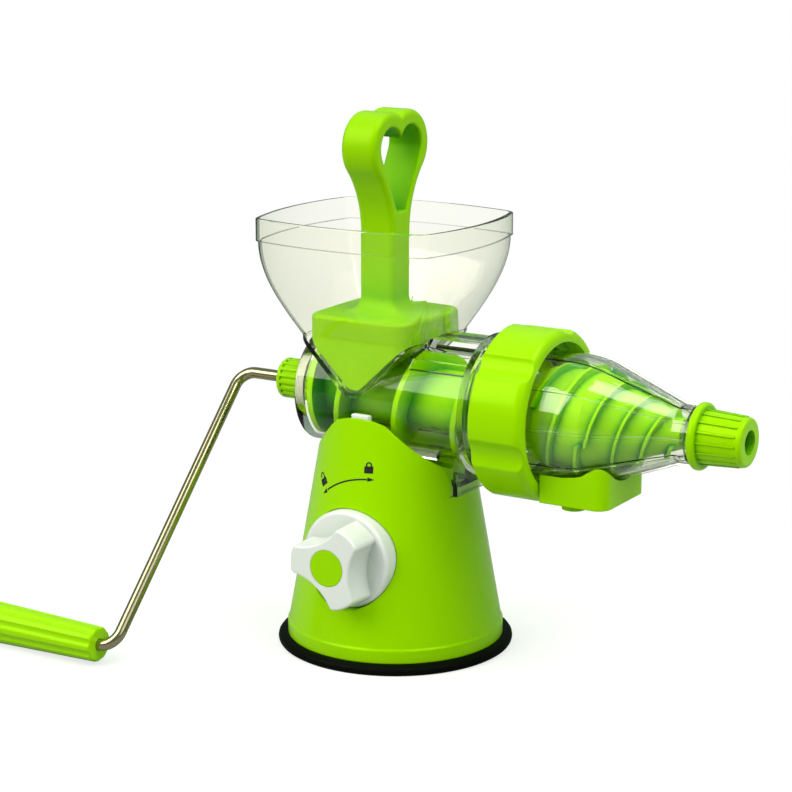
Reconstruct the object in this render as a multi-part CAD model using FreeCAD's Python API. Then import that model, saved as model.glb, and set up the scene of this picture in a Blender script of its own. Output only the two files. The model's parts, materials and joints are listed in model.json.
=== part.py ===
import FreeCAD, Part
import math
import os

# A hand-crank screw juicer on a suction foot, in millimetres.
# Origin: middle of the foot's underside. +X: along the barrel to the nozzle. +Z: up. -Y: the knob's side.

# Clearances
run_gap = 0.05        # radial clearance of a shaft in its bearing
slide_gap = 0.3       # clearance of sliding and turning faces
fit_gap = 0.1         # clearance of a pressed or seated piece
over = 1.0            # how far a cut runs past the face it opens
bury = 1.0            # how far a raised feature is sunk into what carries it
near = 0.01           # how close an edge lies to the plane it is picked by

# Barrel axis
axis_z = 131.2

# Rubber foot
foot_r = 61.0
foot_h = 5.2
foot_edge = 1.6

# Base housing
lip_r = 56.0
lip_h = 7.4
lip_slope = 1.0
cone_step = 0.8
crown_drop = 6.4
crown_r = 40.0
crown_wall = 1.5
wall = 2.6
trough_t = 4.0

# Suction mechanism
plate_r = 20.0
plate_t = 2.2
stud_r = 3.5
stud_l = 16.0
stem_r = 7.0
stem_lift = 6.0
lock_angle = 90.0
knob_z = 55.0
pin_r = 4.0
head_side = 3.5
head_t = 14.0
head_bar = 5.0
floor_z = 24.0
floor_t = 3.0
floor_collar_wall = 4.0
floor_collar_h = 11.0
boss_r = 4.2
boss_l = 22.0
boss_inset = 5.2
boss_angles = (90.0, 205.0, 335.0)
screw_r = 1.5
screw_l = 12.0
screw_head_r = 3.2
screw_head_h = 2.2
cup_spring_room = 1.4
cup_spring_wire = 1.2
cup_spring_turns = 5

# Suction knob
shaft_r = 5.0
shaft_boss_wall = 3.95
disc_rim = 0.6
disc_t = 5.4
well_floor = 36.5
well_t = 2.4
well_wall = 2.2
knob_flange_r = 25.0
knob_flange_t = 11.7
knob_flange_round = 2.0
knob_grip_l = 17.0
knob_hollow = 8.0
knob_rim = 2.6
knob_face_round = 1.2
lobes = 3
lobe_tip_r = 22.6
lobe_corner_r = 2.5
lobe_hollow_r = 30.0
lobe_waist_r = 13.4
lobe_turn = -5.0
lobe_taper = 0.96
knob_floor_t = 3.0
knob_cap_r = 9.5
knob_cap_t = 2.6
knob_ledge = 2.4
knob_screw_r = 1.8
knob_screw_l = 10.0
knob_screw_head_r = 4.0
knob_screw_head_h = 2.8
knob_screw_room = 3.8

# Release button
button_w = 10.0
button_t = 3.0
button_l = 27.4
button_stand = 2.0
button_proud = 1.8
button_round = 0.6
button_ear = 3.0
button_ear_h = 5.0
button_guide_side = 2.7
button_guide_drop = 2.8
button_spring_l = 8.0
button_spring_r = 1.05
button_spring_wire = 0.45
button_spring_turns = 6

# Barrel
barrel_r = 29.0
barrel_wall = 2.5
barrel_rear = -42.5
rear_wall = 5.0
collar_x = 57.0
collar_t = 4.5
collar_step = 1.3
spigot_step = 6.8
spigot_l = 16.5
spigot_wall = 5.8
rail_rear = -28.0
rail_web = 11.0
rail_flange = 20.0
rail_t = 3.0
rail_lip = 4.0
rail_floor = 3.0
rail_side = 4.0
foot_plate_x = 42.9
foot_plate_t = 2.6
foot_plate_w = 30.0
foot_plate_drop = 3.9
cradle_h = 5.0
cradle_t = 3.0
cradle_angle = 42.0
cradle_front = 38.0
bridge_w = 22.0
bridge_h = 4.2
side_rib_w = 6.0
side_rib_h = 1.6
side_rib_angle = 44.0
side_rib_rear = 22.0
side_rib_front = 53.0

# Hopper
hopper_x = -6.0
hopper_h = 59.3
hopper_half_x = 57.0
hopper_half_y = 51.0
hopper_collar_h = 11.4
hopper_step = 0.8
hopper_wall = 2.0
hopper_corner = 8.0
hopper_bow = 5.5
hopper_rim_round = 0.7
hopper_steps = 5
throat_step = 3.5
throat_rise = 5.3
throat_corner = 6.0
throat_bow = 0.6
vee_rise = 3.3
vee_half = 4.0
vee_round = 8.0

# Seals
seal_w = 5.0
seal_t = 2.8
gasket_t = 1.0

# Auger
journal_r = 8.0
hex_step = 1.5
hex_l = 7.0
auger_disc_gap = 0.5
auger_disc_t = 3.2
auger_gap = 0.7
auger_core_r = 15.0
flight_root_t = 5.0
flight_tip_t = 3.0
flight_turns = 3
flight_stand = 3.5
flight_angle = 73.0
press_lead = 6.0
press_run = 20.0
press_room = 2.4
press_gap = 1.0
rib_starts = 3
rib_pitch = 14.5
rib_h = 3.0
rib_t = 3.6
auger_nose = 2.0

# Crank
rod_r = 3.0
rod_bend = 9.0
rod_in_hub = 7.0
crank_reach = 28.5
crank_y = -115.0
crank_drop = 120.2
hub_wall = 2.4
hub_gap = 1.2
hub_l = 23.3
hub_end_wall = 9.0
hub_plain = 2.5
hub_round = 1.0
hub_grooves = 18
hub_groove_r = 1.1
hub_groove_depth = 0.75
grip_l = 70.0
grip_r_near = 9.0
grip_r_far = 10.6
grip_round = 1.6
grip_flutes = 9
grip_flute_r = 3.4
grip_flute_depth = 0.9
retainer_w = 3.0
retainer_t = 1.2
retainer_room = 3.6
end_cap_step = 1.3
end_cap_t = 4.0
end_cap_round = 1.0
rod_tail = 2.0

# Nozzle
nozzle_flange_w = 3.8
nozzle_flange_t = 4.0
nozzle_wall = 2.2
shoulder_l = 34.6
shoulder_leg = 8.0
taper_l = 81.0
tip_r = 14.2
tip_l = 8.0
tube_r = 10.0
tube_bore = 7.5
tube_l = 17.0
nozzle_ribs = 10
nozzle_rib_w = 1.6
nozzle_rib_h = 0.9
drain_in = 20.0
drain_l = 22.0
drain_w = 22.0
drain_ledge = 1.5
strainer_slots = 5
strainer_slot_w = 1.6
strainer_margin = 3.0

# Lock ring
ring_stand = 4.5
ring_l = 29.0
ring_wall = 6.9
ring_lip = 3.0
ring_mouth_wall = 6.4
ring_lobes = 6
ring_scallop_r = 12.0
ring_scallop_depth = 3.0
ring_turn = -12.0
ring_round = 2.0
ring_front_round = 4.5

# Outlet cap
cap_wall = 3.0
cap_draft = 1.4
cap_flange_w = 3.0
cap_flange_t = 4.0
cap_round = 1.6
cap_room = 5.0
cap_end_wall = 4.4
cap_hole_r = 6.0
cap_ribs = 16
cap_rib_w = 1.1
cap_rib_h = 0.5
cap_rib_margin = 3.0

# Juice tray
tray_stand = 0.8
tray_l = 35.2
tray_half = 23.0
tray_wall = 2.0
tray_depth = 6.2
tray_side_h = 15.0
tray_sweep_r = 12.0
tray_ear_h = 24.6
tray_ear_r = 6.5
tray_ear_in = 2.0
tray_corner = 7.0
spout_in = 7.2
spout_r = 6.0
spout_wall = 1.6
spout_l = 7.5

# Pusher
pusher_gap = 1.1
pusher_block_h = 11.0
pusher_round = 2.0
pusher_corner = 8.0
pusher_neck_l = 39.0
pusher_neck_half = 9.0
pusher_neck_round = 8.0
loop_t = 20.0
loop_h = 44.5
loop_lobe_y = 9.0
loop_lobe_r = 17.5
loop_band = 7.6
loop_base_band = 12.2
loop_base_half = 3.8
loop_round = 3.0
loop_hole_round = 1.4

# Worked-out places
V = FreeCAD.Vector
lip_top = foot_h + lip_h
cone_r = lip_r - cone_step
housing_top = axis_z - crown_drop
bore_r = barrel_r - barrel_wall
saddle_r = barrel_r + cradle_h
saddle_base = axis_z - saddle_r
housing_top_r = saddle_r + crown_wall
rail_top = saddle_base - rail_lip - slide_gap
rail_base = rail_top - rail_t
pin_angle = math.radians(lock_angle / 2)
cam_throw = stem_lift / (2 * math.sin(pin_angle))
disc_r = cam_throw + pin_r + disc_rim
head_z = knob_z - stem_lift / 2
slot_half_x = cam_throw + pin_r + slide_gap
slot_half_z = pin_r + slide_gap
head_half_x = slot_half_x + head_side
head_half_z = slot_half_z + head_bar
plate_top = foot_h + plate_t
disc_face = head_t / 2 + slide_gap
disc_rear = disc_face + disc_t
shaft_boss_r = shaft_r + run_gap + shaft_boss_wall
knob_rear = well_floor + slide_gap
knob_flange_front = knob_rear + knob_flange_t
knob_front = knob_flange_front + knob_grip_l
knob_screw_seat = knob_front - knob_cap_t - knob_screw_room
shaft_end = knob_screw_seat - knob_floor_t
cup_spring_r = stem_r + cup_spring_room + cup_spring_wire / 2
button_y = -(barrel_r + button_stand + button_t / 2)
button_top = housing_top + button_proud
button_bottom = button_top - button_l
button_spring_base = button_bottom - button_spring_l
spigot_r = barrel_r + spigot_step
collar_end = collar_x + collar_t
spigot_end = collar_end + spigot_l
throat_z = axis_z + bore_r + throat_rise
throat_half = barrel_r + throat_step
vee_z = axis_z + vee_rise
hopper_top = throat_z + hopper_h
hopper_collar_z = hopper_top - hopper_collar_h
seal_r = journal_r + seal_w
seal_x = barrel_rear + rear_wall - seal_t + slide_gap
nozzle_start = spigot_end + gasket_t
flange_end = nozzle_start + nozzle_flange_t
nozzle_r = spigot_r - nozzle_flange_w
shoulder_x = nozzle_start + shoulder_l
taper_end = nozzle_start + taper_l
taper_slope = (nozzle_r - tip_r) / (taper_end - shoulder_x)
taper_angle = math.degrees(math.atan(taper_slope))
drain_x = nozzle_start + drain_in
tube_start = taper_end + tip_l
hub_r = journal_r + fit_gap + hub_wall
hub_front = barrel_rear - hub_gap
hub_rear = hub_front - hub_l
journal_end = hub_rear + hub_end_wall
hex_flats = 2 * (journal_r - hex_step)
crank_x = hub_rear - crank_reach
crank_z = axis_z - crank_drop
grip_near = crank_x - rod_bend
grip_far = grip_near - grip_l
retainer_r = rod_r + retainer_w
retainer_pocket = grip_far + end_cap_t + rod_tail + retainer_room
end_cap_r = retainer_r + slide_gap + end_cap_step
press_start = spigot_end - press_lead
press_full = press_start + press_run
press_r = nozzle_r - nozzle_wall - rib_h - press_room
auger_end = taper_end + auger_nose
ring_r = spigot_r + slide_gap + ring_wall
ring_rear = collar_end + ring_stand
ring_front = ring_rear + ring_l
ring_mouth_r = ring_r - ring_mouth_wall
cap_start = tube_start + slide_gap
cap_bore_end = tube_start + tube_l + cap_room
cap_end = cap_bore_end + cap_end_wall
cap_r_near = tube_r + slide_gap + cap_wall
cap_r_far = cap_r_near - cap_draft
tray_start = ring_front + tray_stand
tray_end = tray_start + tray_l
tray_bottom = axis_z - nozzle_r - tray_depth
tray_side_top = tray_bottom + tray_side_h
tray_ear_top = tray_bottom + tray_ear_h
spout_x = tray_start + spout_in
pusher_inset = hopper_wall + pusher_gap
pusher_top = throat_z + pusher_block_h
loop_base_z = pusher_top + pusher_neck_l
loop_lobe_z = loop_base_z + loop_h


# Basic shapes
def box(x0, x1, y0, y1, z0, z1):
    return Part.makeBox(x1 - x0, y1 - y0, z1 - z0, V(x0, y0, z0))


def cylinder_x(radius, x0, x1, y=0.0, z=axis_z):
    return Part.makeCylinder(radius, x1 - x0, V(x0, y, z), V(1, 0, 0))


def cylinder_y(radius, y0, y1, x=0.0, z=0.0):
    return Part.makeCylinder(radius, y1 - y0, V(x, y0, z), V(0, 1, 0))


def cylinder_z(radius, z0, z1, x=0.0, y=0.0):
    return Part.makeCylinder(radius, z1 - z0, V(x, y, z0), V(0, 0, 1))


def tube_x(outer, inner, x0, x1, y=0.0, z=axis_z):
    return cylinder_x(outer, x0, x1, y, z).cut(cylinder_x(inner, x0, x1, y, z))


def closed_face(points):
    return Part.Face(Part.makePolygon(points + [points[0]]))


def turned_x(profile):
    """Revolve (x, radius) points about the barrel axis."""
    face = closed_face([V(x, 0, axis_z + radius) for x, radius in profile])
    return face.revolve(V(0, 0, axis_z), V(1, 0, 0), 360)


def turned_z(profile):
    """Revolve (radius, z) points about the vertical through the origin."""
    face = closed_face([V(radius, 0, z) for radius, z in profile])
    return face.revolve(V(0, 0, 0), V(0, 0, 1), 360)


def join(shapes):
    return shapes[0].fuse(shapes[1:]).removeSplitter()


def around_axis(shape, count):
    """Copies of a shape, evenly turned about the barrel axis."""
    copies = []
    for i in range(count):
        copy = shape.copy()
        copy.rotate(V(0, 0, axis_z), V(1, 0, 0), i * 360.0 / count)
        copies.append(copy)
    return copies


def flat_rims(shape, x):
    """Edges of a shape that lie in the plane across the barrel at x."""
    return [edge for edge in shape.Edges
            if abs(edge.BoundBox.XMin - x) < near and edge.BoundBox.XLength < near]


def rounded_rectangle(half_x, half_y, corner, x, z):
    """A level rounded rectangle as a closed wire of four lines and four arcs."""
    edges = []
    diagonal = corner * (1 - math.sqrt(0.5))
    ends = ((1, 1), (-1, 1), (-1, -1), (1, -1))
    for i, (sx, sy) in enumerate(ends):
        along_x = V(x + sx * (half_x - corner), sy * half_y, z)
        along_y = V(x + sx * half_x, sy * (half_y - corner), z)
        middle = V(x + sx * (half_x - diagonal), sy * (half_y - diagonal), z)
        first, last = (along_y, along_x) if i % 2 == 0 else (along_x, along_y)
        edges.append(Part.Arc(first, middle, last).toShape())
        next_x, next_y = ends[(i + 1) % 4]
        if i % 2 == 0:
            start = V(x + next_x * (half_x - corner), next_y * half_y, z)
        else:
            start = V(x + next_x * half_x, next_y * (half_y - corner), z)
        edges.append(Part.LineSegment(last, start).toShape())
    return Part.Wire(edges)


def bowed_rectangle(half_x, half_y, bow, corner, x, z):
    """A level rectangle whose sides swell by a bow, its corner arcs tangent to them, as a closed wire."""
    corner_x = half_x - bow - corner
    corner_y = half_y - bow - corner
    side_x = ((bow + corner) ** 2 + corner_y ** 2 - corner ** 2) / (2 * bow)
    side_y = ((bow + corner) ** 2 + corner_x ** 2 - corner ** 2) / (2 * bow)

    def touch(sx, sy, along_x):
        middle = V(sx * corner_x, sy * corner_y, 0)
        centre = V(0, sy * (half_y - side_y), 0) if along_x else V(sx * (half_x - side_x), 0, 0)
        return middle + (middle - centre).normalize() * corner + V(x, 0, z)

    edges = []
    ends = ((1, 1), (-1, 1), (-1, -1), (1, -1))
    for i, (sx, sy) in enumerate(ends):
        first = touch(sx, sy, i % 2 == 1)
        last = touch(sx, sy, i % 2 == 0)
        reach = corner * math.sqrt(0.5)
        middle = V(x + sx * (corner_x + reach), sy * (corner_y + reach), z)
        edges.append(Part.Arc(first, middle, last).toShape())
        next_x, next_y = ends[(i + 1) % 4]
        crest = V(x, sy * half_y, z) if i % 2 == 0 else V(x + sx * half_x, 0, z)
        edges.append(Part.Arc(last, crest, touch(next_x, next_y, i % 2 == 0)).toShape())
    return Part.Wire(edges)


def coil(radius, wire, turns, z0, z1):
    """A compression spring: one round wire wound about +Z between two heights."""
    low = z0 + wire / 2
    rise = z1 - z0 - wire
    count = 4 * turns

    def place(i):
        angle = math.pi / 2 * i
        return V(radius * math.cos(angle), radius * math.sin(angle), low + rise * i / count)

    def heading(i):
        angle = math.pi / 2 * i
        climb = rise / (2 * math.pi * turns)
        return V(-radius * math.sin(angle), radius * math.cos(angle), climb).normalize()

    edges = []
    for i in range(count):
        edges.extend(biarc(place(i), heading(i), place(i + 1), heading(i + 1)))
    path = Part.Wire(edges)
    ring = Part.Wire(Part.makeCircle(wire / 2, place(0), heading(0)))
    gap = rise / turns - wire
    print("spring gap between turns", round(gap, 2))
    return path.makePipeShell([ring], True, False)


def biarc(p0, t0, p1, t1):
    """Two arcs that leave p0 along t0 and arrive at p1 along t1."""
    chord = p1 - p0
    both = t0 + t1
    a = both.dot(both) - 4
    b = -2 * chord.dot(both)
    c = chord.dot(chord)
    reach = (-b - math.sqrt(b * b - 4 * a * c)) / (2 * a)
    q0 = p0 + t0 * reach
    q1 = p1 - t1 * reach
    joint = (q0 + q1) * 0.5
    return [arc_by_corner(p0, q0, joint), arc_by_corner(joint, q1, p1)]


def arc_by_corner(start, corner, end):
    """The arc tangent to both legs of a corner with equal legs."""
    leg = (start - corner).Length
    middle = (start + end) * 0.5
    inward = middle - corner
    half_angle = math.asin(min(1.0, (end - start).Length / 2 / leg))
    radius = leg * math.tan(half_angle)
    to_centre = leg / math.cos(half_angle)
    crest = corner + inward.normalize() * (to_centre - radius)
    return Part.Arc(start, crest, end).toShape()


# Base
def cone_radius(z):
    share = (z - lip_top) / (housing_top - lip_top)
    return cone_r + (housing_top_r - cone_r) * share


def cone_solid(inset, z0, z1):
    """The housing's cone, its surface moved inwards by an inset."""
    return turned_z([(0, z0), (cone_radius(z0) - inset, z0), (cone_radius(z1) - inset, z1), (0, z1)])


def suction_cup():
    return turned_z([
        (0, 0), (foot_r - foot_edge, 0), (foot_r, foot_edge), (foot_r, foot_h - foot_edge),
        (foot_r - foot_edge, foot_h), (0, foot_h),
    ])


def cup_plate():
    disc = cylinder_z(plate_r, foot_h, plate_top)
    stud = cylinder_z(stud_r, plate_top, plate_top + stud_l)
    return join([disc, stud])


def suction_stem():
    post = cylinder_z(stem_r, plate_top, head_z - head_half_z + wall)
    head = box(-head_half_x, head_half_x, -head_t / 2, head_t / 2, head_z - head_half_z, head_z + head_half_z)
    slot = box(-slot_half_x, slot_half_x, -head_t, head_t, head_z - slot_half_z, head_z + slot_half_z)
    bore = cylinder_z(stud_r + run_gap, plate_top, plate_top + stud_l + slide_gap)
    return join([post, head]).cut(slot).cut(bore)


def cup_spring():
    return coil(cup_spring_r, cup_spring_wire, cup_spring_turns, plate_top, floor_z)


def boss_places():
    """Middles of the three screw bosses, clear of the knob's well."""
    reach = cone_radius(floor_z + floor_t) - wall - boss_inset
    return [(reach * math.cos(math.radians(a)), reach * math.sin(math.radians(a))) for a in boss_angles]


def base_plate():
    plate = cylinder_z(cone_radius(floor_z + floor_t) - wall - slide_gap, floor_z, floor_z + floor_t)
    guide_r = stem_r + run_gap
    collar_top = floor_z + floor_t + floor_collar_h
    collar = cylinder_z(guide_r + floor_collar_wall, floor_z, collar_top)
    plate = join([plate, collar]).cut(cylinder_z(guide_r, floor_z, collar_top))
    for x, y in boss_places():
        plate = plate.cut(cylinder_z(screw_r + fit_gap, floor_z, floor_z + floor_t, x, y))
    return plate


def plate_screws():
    screws = []
    for x, y in boss_places():
        head = cylinder_z(screw_head_r, floor_z - screw_head_h, floor_z, x, y)
        shank = cylinder_z(screw_r, floor_z, floor_z + screw_l, x, y)
        screws.append(join([head, shank]))
    return Part.makeCompound(screws)


def button_pocket():
    """The space the release button and its spring move in."""
    side = button_w / 2 + slide_gap
    front = button_y - button_t / 2 - slide_gap
    back = button_y + button_t / 2 + slide_gap
    shaft = box(-side, side, front, back, button_spring_base, housing_top + crown_r)
    ears = box(-side - button_ear, side + button_ear, front, back, button_spring_base,
               button_bottom + button_ear_h + slide_gap)
    return shaft.fuse(ears)


def base_housing():
    top = housing_top + crown_r
    solid = turned_z([
        (0, foot_h), (lip_r, foot_h), (lip_r, lip_top - lip_slope), (cone_r, lip_top),
        (cone_radius(top), top), (0, top),
    ])
    crown_z = housing_top - crown_r
    crown = cylinder_y(crown_r, -lip_r, lip_r, 0, crown_z)
    below = box(-lip_r, lip_r, -lip_r, lip_r, 0, crown_z)
    keep = crown.fuse(below)
    inside = cone_solid(wall, foot_h, top)
    backing = cone_solid(wall / 2, foot_h, top)
    shell = solid.cut(inside)

    trough = tube_x(saddle_r + trough_t, saddle_r, -lip_r, lip_r)
    trough = trough.common(box(-lip_r, lip_r, -lip_r, lip_r, 0, axis_z))
    rail_half = rail_flange / 2 + slide_gap + rail_side
    channel = box(rail_rear - rail_side, lip_r, -rail_half, rail_half,
                  rail_base - slide_gap - rail_floor, saddle_base + trough_t)
    guide_half = button_w / 2 + slide_gap + button_ear + button_guide_side
    guide = box(-guide_half, guide_half, -lip_r, button_y + button_t / 2 + slide_gap + wall,
                button_spring_base - wall, housing_top - button_guide_drop)
    well = cylinder_y(knob_flange_r + slide_gap + well_wall, -lip_r, -well_floor + well_t, 0, knob_z)
    bearing = cylinder_y(shaft_boss_r, -well_floor, -disc_rear - slide_gap, 0, knob_z)
    bosses = [cylinder_z(boss_r, floor_z + floor_t, floor_z + floor_t + boss_l, x, y)
              for x, y in boss_places()]
    inner = [trough, channel, guide, well, bearing] + bosses
    body = join([shell] + [piece.common(backing) for piece in inner])

    body = body.cut(cylinder_x(saddle_r, -lip_r, lip_r)).common(keep)
    body = body.cut(rail_slot())
    body = body.cut(button_pocket())
    body = body.cut(cylinder_y(knob_flange_r + slide_gap, -foot_r, -well_floor, 0, knob_z))
    body = body.cut(cylinder_y(shaft_r + run_gap, -foot_r, 0, 0, knob_z))
    for x, y in boss_places():
        body = body.cut(cylinder_z(screw_r + fit_gap, floor_z, floor_z + screw_l + wall, x, y))
    return body


def rail_slot():
    """The slot in the housing that the head's rail slides in."""
    half = rail_flange / 2 + slide_gap
    web = rail_web / 2 + slide_gap
    wide = box(rail_rear - slide_gap, foot_r, -half, half, rail_base - slide_gap, rail_top + slide_gap)
    neck = box(rail_rear - slide_gap, foot_r, -web, web, rail_top, axis_z)
    return wide.fuse(neck)


def release_button():
    blade = box(-button_w / 2, button_w / 2, button_y - button_t / 2, button_y + button_t / 2,
                button_bottom, button_top)
    ears = box(-button_w / 2 - button_ear, button_w / 2 + button_ear, button_y - button_t / 2,
               button_y + button_t / 2, button_bottom, button_bottom + button_ear_h)
    button = join([blade, ears])
    rims = [edge for edge in button.Edges if edge.BoundBox.ZMin > button_top - near]
    return button.makeFillet(button_round, rims)


def button_spring():
    spring = coil(button_spring_r, button_spring_wire, button_spring_turns, button_spring_base, button_bottom)
    spring.translate(V(0, button_y, 0))
    return spring


# Knob and shaft, along -Y
def cam_shaft():
    disc = cylinder_y(disc_r, -disc_rear, -disc_face, 0, knob_z)
    shaft = cylinder_y(shaft_r, -shaft_end, -disc_rear, 0, knob_z)
    pin_x = -cam_throw * math.cos(pin_angle)
    pin_z = knob_z - cam_throw * math.sin(pin_angle)
    pin = cylinder_y(pin_r, -disc_face, head_t / 2, pin_x, pin_z)
    hole = cylinder_y(knob_screw_r + fit_gap, -shaft_end, -shaft_end + knob_screw_l, 0, knob_z)
    return join([disc, shaft, pin]).cut(hole)


def lobed_wire(scale, y):
    """Blunt arms with rounded corners, joined by hollow sides, in a plane across the knob's axis."""
    ring = lobe_tip_r - lobe_corner_r
    hollow_d = lobe_waist_r + lobe_hollow_r
    side = lobe_hollow_r + lobe_corner_r
    spread = math.degrees(math.acos((ring ** 2 + hollow_d ** 2 - side ** 2) / (2 * ring * hollow_d)))
    step = 360.0 / lobes

    def at(distance, degrees):
        angle = math.radians(degrees)
        return V(scale * distance * math.cos(angle), y, knob_z + scale * distance * math.sin(angle))

    def meet(hollow, corner):
        centre = at(hollow_d, hollow)
        return centre + (at(ring, corner) - centre) * (lobe_hollow_r / side)

    def round_corner(start, turn, end):
        centre = at(ring, turn)
        out = ((start - centre) + (end - centre)).normalize()
        return Part.Arc(start, centre + out * scale * lobe_corner_r, end).toShape()

    edges = []
    for i in range(lobes):
        hollow = lobe_turn + step * i
        after = hollow + step
        first = hollow + spread
        last = after - spread
        leave = meet(hollow, first)
        arrive = meet(after, last)
        edges.append(round_corner(leave, first, at(lobe_tip_r, first)))
        crest = at(lobe_tip_r, hollow + step / 2)
        edges.append(Part.Arc(at(lobe_tip_r, first), crest, at(lobe_tip_r, last)).toShape())
        edges.append(round_corner(at(lobe_tip_r, last), last, arrive))
        edges.append(Part.Arc(arrive, at(lobe_waist_r, after), meet(after, after + spread)).toShape())
    return Part.Wire(edges)


def lock_knob():
    flange = cylinder_y(knob_flange_r, -knob_flange_front, -knob_rear, 0, knob_z)
    rims = [edge for edge in flange.Edges if edge.BoundBox.YMax < -knob_flange_front + near]
    flange = flange.makeFillet(knob_flange_round, rims)
    foot = lobed_wire(1.0, -knob_flange_front + knob_flange_round + bury)
    grip = Part.makeLoft([foot, lobed_wire(lobe_taper, -knob_front)], True, True)
    rims = [edge for edge in grip.Edges if edge.BoundBox.YMax < -knob_front + near]
    grip = grip.makeFillet(knob_face_round, rims)
    hollow = cylinder_y(knob_flange_r - knob_rim, -knob_rear - knob_hollow, -knob_rear, 0, knob_z)
    hub = cylinder_y(shaft_boss_r, -knob_rear - knob_hollow, -knob_rear, 0, knob_z)
    knob = join([flange.cut(hollow), hub, grip])

    knob = knob.cut(cylinder_y(shaft_r + run_gap, -shaft_end, -knob_rear, 0, knob_z))
    knob = knob.cut(cylinder_y(knob_screw_r + fit_gap, -knob_front, -knob_rear, 0, knob_z))
    knob = knob.cut(cylinder_y(knob_cap_r - knob_ledge, -knob_front, -knob_screw_seat, 0, knob_z))
    return knob.cut(cylinder_y(knob_cap_r, -knob_front, -knob_front + knob_cap_t, 0, knob_z))


def knob_screw():
    head = cylinder_y(knob_screw_head_r, -knob_screw_seat - knob_screw_head_h, -knob_screw_seat, 0, knob_z)
    shank = cylinder_y(knob_screw_r, -knob_screw_seat, -knob_screw_seat + knob_screw_l, 0, knob_z)
    return join([head, shank])


def knob_cap():
    return cylinder_y(knob_cap_r - fit_gap, -knob_front, -knob_front + knob_cap_t, 0, knob_z)


# Head
def hopper_wire(share, inset):
    """Outline of the hopper between throat (share 0) and collar (share 1), moved inwards by an inset."""
    spread = math.sin(share * math.pi / 2)
    half_x = throat_half + (hopper_half_x - hopper_step - throat_half) * spread - inset
    half_y = throat_half + (hopper_half_y - hopper_step - throat_half) * spread - inset
    bow = throat_bow + (hopper_bow - throat_bow) * spread
    corner = throat_corner + (hopper_corner - throat_corner) * spread - inset
    height = throat_z + (hopper_collar_z - throat_z) * share
    return bowed_rectangle(half_x, half_y, bow, corner, hopper_x, height)


def vee(inset, corner):
    """The V-shaped foot of the hopper's inside or outside, below the throat."""
    half = throat_half - inset
    low_half = vee_half - inset * math.tan(math.pi / 8)
    low_z = vee_z + inset
    lean = math.atan2(throat_z - low_z, half - low_half)
    leg = (vee_round - inset) * math.tan(lean / 2)
    tops = [V(hopper_x + side * half, -half, throat_z) for side in (-1, 1)]
    lows = [V(hopper_x + side * low_half, -half, low_z) for side in (-1, 1)]
    starts = [low + (top - low).normalize() * leg for top, low in zip(tops, lows)]
    flats = [lows[0] + V(leg, 0, 0), lows[1] - V(leg, 0, 0)]
    profile = Part.Wire([
        Part.LineSegment(tops[0], starts[0]).toShape(),
        arc_by_corner(starts[0], lows[0], flats[0]),
        Part.LineSegment(flats[0], flats[1]).toShape(),
        arc_by_corner(flats[1], lows[1], starts[1]),
        Part.LineSegment(starts[1], tops[1]).toShape(),
        Part.LineSegment(tops[1], tops[0]).toShape(),
    ])
    prism = Part.Face(profile).extrude(V(0, 2 * half, 0))
    plan = bowed_rectangle(half, half, throat_bow, corner, hopper_x, vee_z)
    return prism.common(Part.Face(plan).extrude(V(0, 0, throat_z - vee_z)))


def funnel(inset):
    """The hopper below its collar as a solid, its walls moved inwards by an inset."""
    wires = [hopper_wire(i / hopper_steps, inset) for i in range(hopper_steps + 1)]
    upper = Part.makeLoft(wires, True, False)
    return upper.fuse(vee(inset, throat_corner - inset))


def hopper_collar(inset):
    low = bowed_rectangle(hopper_half_x - inset, hopper_half_y - inset, hopper_bow, hopper_corner - inset,
                          hopper_x, hopper_collar_z)
    return Part.Face(low).extrude(V(0, 0, hopper_collar_h))


def hopper_rim():
    collar = hopper_collar(0.0)
    rims = [edge for edge in collar.Edges if edge.BoundBox.ZMin > hopper_top - near]
    return collar.makeFillet(hopper_rim_round, rims)


def feed_housing():
    bore_base = axis_z - bore_r
    rail_end = foot_plate_x + foot_plate_t
    solids = [
        cylinder_x(barrel_r, barrel_rear, collar_end),
        cylinder_x(spigot_r + collar_step, collar_x, collar_end),
        cylinder_x(spigot_r, collar_x, spigot_end),
        box(rail_rear, rail_end, -rail_flange / 2, rail_flange / 2, rail_base, rail_top),
        box(rail_rear, rail_end, -rail_web / 2, rail_web / 2, rail_base, bore_base),
        box(foot_plate_x, rail_end, -foot_plate_w / 2, foot_plate_w / 2,
            rail_base - foot_plate_drop, bore_base),
        box(hopper_x, collar_end, -bridge_w / 2, bridge_w / 2, axis_z, axis_z + barrel_r + bridge_h),
        funnel(0.0),
        hopper_rim(),
    ]
    for side in (-1, 1):
        cradle = box(rail_rear, cradle_front, -cradle_t / 2, cradle_t / 2, saddle_base + slide_gap, bore_base)
        cradle.rotate(V(0, 0, axis_z), V(1, 0, 0), side * cradle_angle)
        rib = box(side_rib_rear, side_rib_front, -side_rib_w / 2, side_rib_w / 2,
                  axis_z + bore_r, axis_z + barrel_r + side_rib_h)
        rib.rotate(V(0, 0, axis_z), V(1, 0, 0), side * side_rib_angle)
        solids.extend([cradle, rib])
    body = join(solids)

    inner_face = barrel_rear + rear_wall
    body = body.cut(funnel(hopper_wall))
    body = body.cut(hopper_collar(hopper_wall))
    body = body.cut(cylinder_x(bore_r, inner_face, spigot_end))
    body = body.cut(cylinder_x(spigot_r - spigot_wall, collar_end, spigot_end))
    body = body.cut(cylinder_x(journal_r + run_gap, barrel_rear, inner_face))
    body = body.cut(cylinder_x(seal_r + fit_gap, seal_x, inner_face))
    return body.removeSplitter()


def shaft_seal():
    return tube_x(seal_r, journal_r + run_gap, seal_x, seal_x + seal_t)


def nozzle_seal():
    return tube_x(spigot_r - fit_gap, spigot_r - spigot_wall, spigot_end, nozzle_start)


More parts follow.
